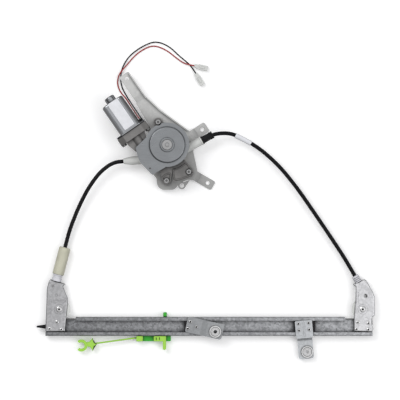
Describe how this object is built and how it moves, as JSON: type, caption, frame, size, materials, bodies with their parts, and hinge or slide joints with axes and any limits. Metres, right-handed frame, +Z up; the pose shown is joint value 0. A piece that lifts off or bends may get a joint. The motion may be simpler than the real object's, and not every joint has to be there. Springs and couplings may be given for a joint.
{
  "type": "window regulator",
  "caption": "Electric cable window regulator: worm-geared motor and cable drum drive glass carriages along a straight rail by sheathed cables over corner pulleys.",
  "frame": {"origin": "middle of the bounding box of the whole part without its loose leads, on the table plane under it", "axes": "+X along the guide rail towards its right end, the longest extent; +Y across, from the rail to the motor; +Z up from the table, the shortest extent"},
  "size_m": [0.5398, 0.508, 0.0518],
  "materials": {
    "galvanised_rail": "dull dark galvanised sheet",
    "galvanised_pan": "galvanised pressed sheet",
    "bright_steel": "bright",
    "pulley_nylon": "moulded",
    "black_rubber": "moulded",
    "white_nylon": "moulded",
    "cream_nylon": "moulded",
    "spring_steel": "drawn wire",
    "cable_steel": "stranded, greased",
    "galvanised_bracket": "galvanised pressed sheet",
    "black_nylon": "moulded",
    "conduit_black": "extruded casing",
    "dark_green_nylon": "moulded",
    "lime_nylon": "moulded",
    "plate_steel": "zinc plated sheet, satin",
    "natural_nylon": "moulded",
    "drum_nylon": "moulded",
    "cast_case": "dark die casting",
    "cover_paint": "light satin paint",
    "wheel_nylon": "moulded",
    "damper_rubber": "moulded",
    "screw_steel": "zinc plated",
    "can_zinc": "bright zinc plate",
    "ferrite": "dull, fired",
    "core_steel": "stamped sheets",
    "winding_copper": "enamelled wire and bars",
    "bush_bronze": "sintered, oiled",
    "lead_black": "insulated wire",
    "lead_red": "insulated wire",
    "plug_nylon": "moulded"
  },
  "bodies": {
    "frame": {"guide_rail": "galvanised_rail", "left_pulley_bracket": "galvanised_pan", "right_pulley_bracket": "galvanised_pan", "bracket_rivets": "bright_steel", "pulley_axles": "bright_steel", "left_end_buffer": "black_rubber", "right_end_buffer": "black_rubber", "tensioner_guide": "white_nylon", "tensioner_housing": "cream_nylon", "tensioner_spring": "spring_steel", "conduit_ferrule": "white_nylon", "rail_cable": "cable_steel", "left_conduit": "conduit_black", "right_conduit": "conduit_black", "cable_boot": "black_rubber", "drum_cables": "cable_steel", "clip_bar": "dark_green_nylon", "clip_latch": "lime_nylon", "clip_arm": "lime_nylon", "mounting_plate": "plate_steel", "press_nuts": "bright_steel", "drum_housing": "natural_nylon", "gear_housing": "cast_case", "gear_cover": "cover_paint", "gear_axle": "bright_steel", "housing_screws": "screw_steel", "motor_can": "can_zinc", "motor_gasket": "black_rubber", "magnets": "ferrite", "brush_card": "black_nylon", "brushes": "ferrite", "bearings": "bush_bronze", "motor_screws": "screw_steel", "lead_grommet": "black_rubber", "black_lead": "lead_black", "red_lead": "lead_red", "black_connector": "plug_nylon", "red_connector": "plug_nylon"},
    "armature": {"armature_shaft": "bright_steel", "rotor_core": "core_steel", "rotor_windings": "winding_copper", "commutator": "winding_copper"},
    "drum_gear": {"cable_drum": "drum_nylon", "drum_cable_turns": "cable_steel", "drive_plate": "bright_steel", "damper": "damper_rubber", "worm_wheel": "wheel_nylon"},
    "left_pulley_wheel": {"left_pulley": "pulley_nylon"},
    "right_pulley_wheel": {"right_pulley": "pulley_nylon"},
    "carriage_a": {"glass_bracket_a": "galvanised_bracket", "slider_a": "black_nylon", "nipple_a": "cable_steel", "rivets_a": "bright_steel", "glass_nut_a": "bright_steel"},
    "carriage_b": {"glass_bracket_b": "galvanised_bracket", "slider_b": "black_nylon", "nipple_b": "cable_steel", "rivets_b": "bright_steel", "glass_nut_b": "bright_steel"}
  },
  "joints": [
    {"name": "carriage_a_slide", "type": "slide", "parent": "frame", "child": "carriage_a", "axis": [1, 0, 0], "range_m": [-0.165, 0.05]},
    {"name": "carriage_b_slide", "type": "slide", "parent": "frame", "child": "carriage_b", "axis": [1, 0, 0], "range_m": [-0.1652, 0.0502]},
    {"name": "drum_spin", "type": "hinge", "parent": "frame", "child": "drum_gear", "pos_m": [-0.0611, 0.1124, 0.02], "axis": [0, 0, 1], "range_deg": [-143.74, 473.19]},
    {"name": "armature_spin", "type": "hinge", "parent": "frame", "child": "armature", "pos_m": [-0.08876, 0.09332, 0.036], "axis": [0.5678, -0.8231, 0], "range_deg": [-26943.84, 8165.15]},
    {"name": "left_pulley_spin", "type": "hinge", "parent": "frame", "child": "left_pulley_wheel", "pos_m": [-0.2336, -0.1492, 0.0095], "axis": [0, 0, 1], "range_deg": [-595.08, 180.68]},
    {"name": "right_pulley_spin", "type": "hinge", "parent": "frame", "child": "right_pulley_wheel", "pos_m": [0.2504, -0.1492, 0.0095], "axis": [0, 0, 1], "range_deg": [-595.08, 180.68]}
  ],
  "couplings": [
    {"joint": "carriage_b_slide", "follows": "carriage_a_slide", "ratio": 1},
    {"joint": "drum_spin", "follows": "carriage_a_slide", "rad_per_m": -50},
    {"joint": "armature_spin", "follows": "carriage_a_slide", "rad_per_m": 2850},
    {"joint": "left_pulley_spin", "follows": "carriage_a_slide", "rad_per_m": 62.893},
    {"joint": "right_pulley_spin", "follows": "carriage_a_slide", "rad_per_m": 62.893}
  ]
}
